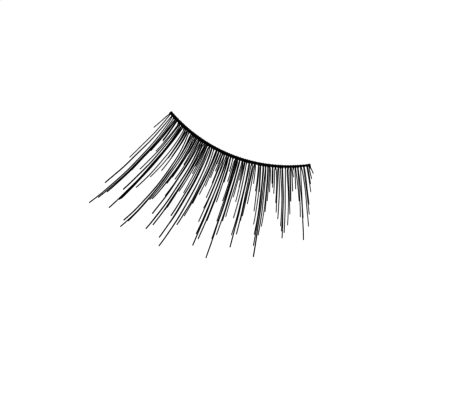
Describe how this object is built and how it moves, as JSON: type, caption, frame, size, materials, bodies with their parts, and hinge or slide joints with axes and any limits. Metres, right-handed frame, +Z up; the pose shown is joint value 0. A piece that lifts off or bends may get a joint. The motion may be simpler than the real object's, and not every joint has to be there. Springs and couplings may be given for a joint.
{
  "type": "false eyelash strip",
  "caption": "Black false eyelash strip: curled lashes in pointed clusters, knotted along a thin curved glue band, longer toward the outer corner.",
  "frame": {"origin": "middle of the band's flat underside, half way along its arc", "axes": "+Z up, away from the surface that the strip lies on; +X toward the inner corner of the eye; the lashes point toward -Y"},
  "size_m": [0.0288, 0.0176, 0.0045],
  "materials": {
    "band_thread": "matte black thread stiffened with dried glue",
    "lash_fibre": "soft black bristle, slight sheen"
  },
  "bodies": {
    "root": {"lash_band": "band_thread", "lash_cluster_01": "lash_fibre", "lash_cluster_02": "lash_fibre", "lash_cluster_03": "lash_fibre", "lash_cluster_04": "lash_fibre", "lash_cluster_05": "lash_fibre", "lash_cluster_06": "lash_fibre", "lash_cluster_07": "lash_fibre", "lash_cluster_08": "lash_fibre", "lash_cluster_09": "lash_fibre", "lash_cluster_10": "lash_fibre", "lash_cluster_11": "lash_fibre", "lash_cluster_12": "lash_fibre"}
  },
  "joints": []
}
